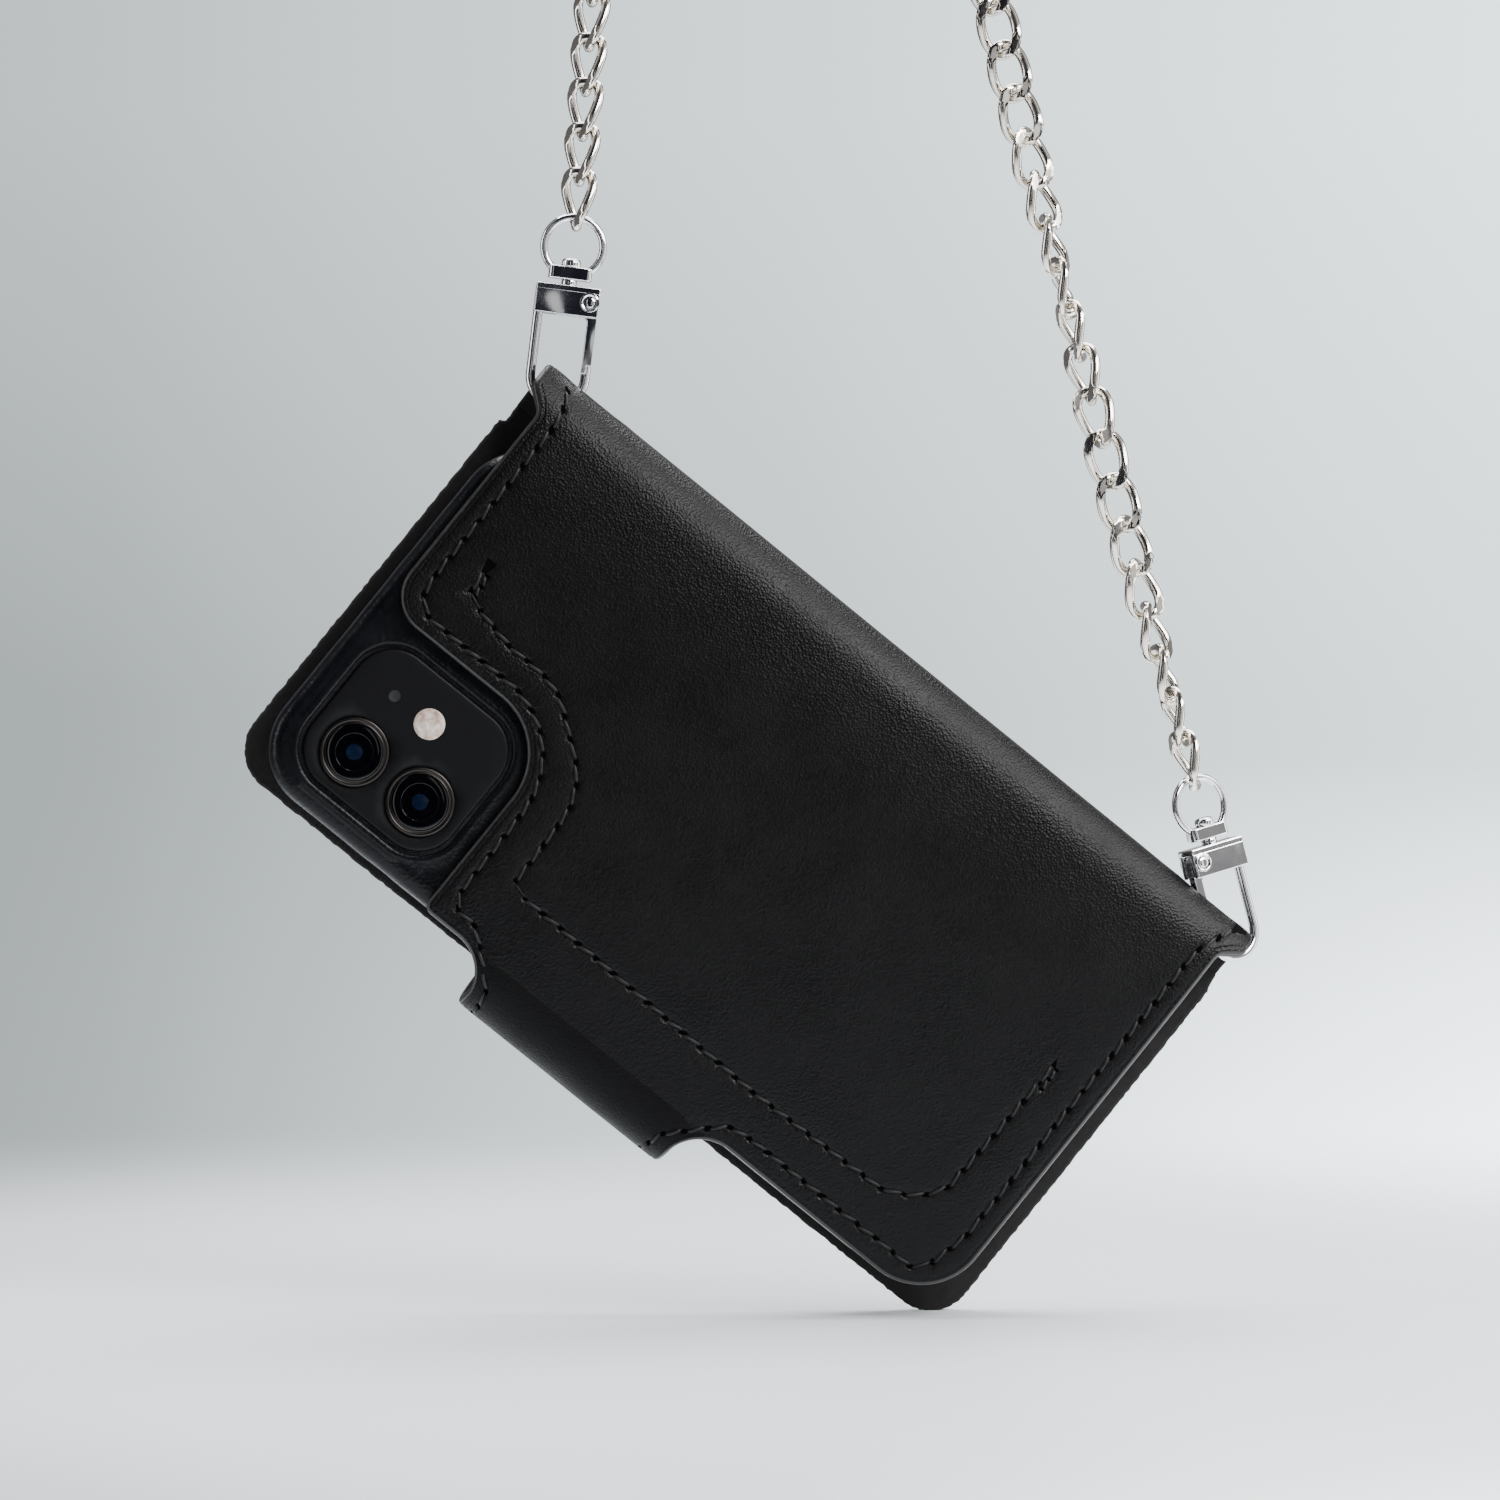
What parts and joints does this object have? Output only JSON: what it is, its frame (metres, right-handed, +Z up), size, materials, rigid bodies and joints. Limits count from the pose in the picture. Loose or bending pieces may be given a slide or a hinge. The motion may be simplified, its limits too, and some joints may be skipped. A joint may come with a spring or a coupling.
{
  "type": "chain wallet",
  "caption": "Black leather phone folio wallet with camera cut-out and closure strap, hung from a silver curb chain by two swivel clasps.",
  "frame": {"origin": "centre of the peg that the chain hangs over", "axes": "+Z up along the hanging object, +X towards the low end of the spine, -Y the side with the camera opening"},
  "size_m": [0.1895, 0.0195, 0.4356],
  "materials": {
    "grain_leather": "satin",
    "lining_leather": "matte",
    "case_leather": "gloss",
    "chain_silver": "polished",
    "clasp_chrome": "polished",
    "spring_steel": "satin",
    "phone_shell": "gloss",
    "screen_glass": "gloss",
    "camera_glass": "satin",
    "lens_ring_metal": "satin",
    "lens_glass": "gloss",
    "flash_diffuser": "satin"
  },
  "bodies": {
    "chain": {"left_chain": "chain_silver", "peg_links": "chain_silver", "right_chain": "chain_silver"},
    "rings": {"left_swivel_ring": "clasp_chrome", "right_swivel_ring": "clasp_chrome"},
    "left_clasp": {"left_swivel_post": "clasp_chrome", "left_clasp_housing": "clasp_chrome", "left_hook": "clasp_chrome", "left_gate_rivet": "clasp_chrome", "left_gate_spring": "spring_steel"},
    "left_gate_lever": {"left_gate": "clasp_chrome"},
    "right_clasp": {"right_swivel_post": "clasp_chrome", "right_clasp_housing": "clasp_chrome", "right_hook": "clasp_chrome", "right_gate_rivet": "clasp_chrome", "right_gate_spring": "spring_steel"},
    "right_gate_lever": {"right_gate": "clasp_chrome"},
    "wallet": {"near_panel_leather": "grain_leather", "near_panel_lining": "lining_leather", "spine_leather": "grain_leather", "spine_lining": "lining_leather", "phone_case": "case_leather", "phone_body": "phone_shell", "phone_screen": "screen_glass", "camera_plate": "camera_glass", "lens_rings": "lens_ring_metal", "lens_glasses": "lens_glass", "flash_lens": "flash_diffuser", "microphone_mesh": "phone_shell"},
    "cover": {"cover_leather": "grain_leather", "cover_lining": "lining_leather", "card_pocket_back": "lining_leather", "card_pocket_front": "lining_leather", "keeper_plate": "spring_steel"},
    "strap": {"strap_leather": "grain_leather", "strap_lining": "lining_leather", "strap_magnet": "spring_steel"}
  },
  "joints": [
    {"name": "ring_swing", "type": "hinge", "parent": "chain", "child": "rings", "pos_m": [0.0309, 0.00255, -0.27184], "axis": [0.7436, 0.0097, -0.6685], "range_deg": [-6, 6]},
    {"name": "left_swivel", "type": "hinge", "parent": "rings", "child": "left_clasp", "pos_m": [-0.0286, 0.0018, -0.2346], "axis": [0.1219, 0, 0.9925], "range_deg": [-8, 8]},
    {"name": "right_swivel", "type": "hinge", "parent": "rings", "child": "right_clasp", "pos_m": [0.0923, 0.0033, -0.338], "axis": [-0.2504, 0, 0.9681], "range_deg": [-6, 6]},
    {"name": "left_gate_push", "type": "hinge", "parent": "left_clasp", "child": "left_gate_lever", "pos_m": [-0.02453, 0.0018, -0.2351], "axis": [0, 1, 0], "range_deg": [0, 16], "stiffness_Nm_per_rad": 0.003, "springref_deg": -17.19},
    {"name": "right_gate_push", "type": "hinge", "parent": "right_clasp", "child": "right_gate_lever", "pos_m": [0.08873, 0.0015, -0.33892], "axis": [0.4244, -0.8988, 0.1098], "range_deg": [0, 16], "stiffness_Nm_per_rad": 0.003, "springref_deg": -17.19},
    {"name": "wallet_flap", "type": "hinge", "parent": "rings", "child": "wallet", "pos_m": [0.03141, 0.00265, -0.30243], "axis": [0.7771, 0.0105, -0.6293], "range_deg": [-6, 6]},
    {"name": "cover_open", "type": "hinge", "parent": "wallet", "child": "cover", "pos_m": [0.02786, 0.0085, -0.30682], "axis": [0.7771, 0, -0.6293], "range_deg": [0, 150]},
    {"name": "strap_open", "type": "hinge", "parent": "wallet", "child": "strap", "pos_m": [-0.02413, -0.0085, -0.37101], "axis": [-0.7771, 0, 0.6293], "range_deg": [0, 120]}
  ]
}
